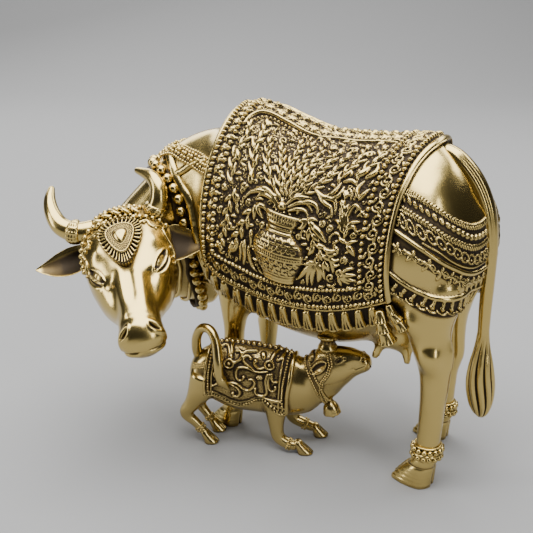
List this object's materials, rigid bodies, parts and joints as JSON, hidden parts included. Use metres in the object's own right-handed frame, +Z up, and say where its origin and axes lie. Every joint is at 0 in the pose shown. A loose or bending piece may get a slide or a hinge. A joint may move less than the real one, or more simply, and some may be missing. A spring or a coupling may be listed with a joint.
{
  "type": "cow and calf figurine",
  "caption": "Brass figurine of a decorated cow turning her head back to her calf, which stands beneath her and reaches for the udder.",
  "frame": {"origin": "middle of the bounding box, on the ground under the hooves", "axes": "+X from the cow's head towards her tail, +Z up; her turned head is on the -Y side"},
  "size_m": [0.2819, 0.1707, 0.2113],
  "materials": {
    "cow_brass": "polished high spots over a dark patina in the carving",
    "calf_brass": "polished high spots over a dark patina in the carving"
  },
  "bodies": {
    "root": {"cow": "cow_brass", "calf": "calf_brass"}
  },
  "joints": []
}
